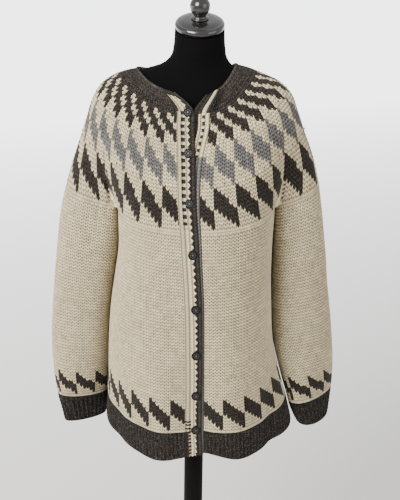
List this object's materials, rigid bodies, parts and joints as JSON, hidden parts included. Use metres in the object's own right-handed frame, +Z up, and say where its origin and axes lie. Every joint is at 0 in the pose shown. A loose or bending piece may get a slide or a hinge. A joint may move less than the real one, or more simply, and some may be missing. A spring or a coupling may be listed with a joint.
{
  "type": "knitted cardigan on a dress form",
  "caption": "Round-yoke cardigan in bulky hand-knit wool with ribbed hem and cuffs and crocheted, buttoned front bands, worn by a limbless dress form on a pole and round base.",
  "frame": {"origin": "on the floor, at the middle of the base's underside, below the pole", "axes": "+Z up, -Y towards the front with the buttons, +X to the viewer's right"},
  "size_m": [0.5841, 0.36, 1.5164],
  "materials": {
    "cream_wool": "matt, fuzzy bulky wool in stocking stitch",
    "charcoal_wool": "matt, fuzzy bulky wool in ribbing",
    "dark_pewter": "dark cast metal, worn",
    "black_jersey": "smooth knitted jersey over foam",
    "gloss_black": "glossy black turned wood or plastic",
    "black_metal": "satin black paint"
  },
  "bodies": {
    "root": {"yoke": "cream_wool", "neckband": "charcoal_wool", "front_left": "cream_wool", "front_right": "cream_wool", "back": "cream_wool", "hem_front_left": "charcoal_wool", "hem_front_right": "charcoal_wool", "hem_back": "charcoal_wool", "sleeve_left": "cream_wool", "sleeve_right": "cream_wool", "cuff_left": "charcoal_wool", "cuff_right": "charcoal_wool", "buttonhole_band": "cream_wool", "button_band": "cream_wool", "button_1": "dark_pewter", "button_2": "dark_pewter", "button_3": "dark_pewter", "button_4": "dark_pewter", "button_5": "dark_pewter", "button_6": "dark_pewter", "button_7": "dark_pewter", "button_8": "dark_pewter", "form_torso": "black_jersey", "neck_cap": "gloss_black", "finial": "gloss_black", "stand_pole": "black_metal", "stand_collar": "black_metal", "stand_base": "black_metal"}
  },
  "joints": []
}
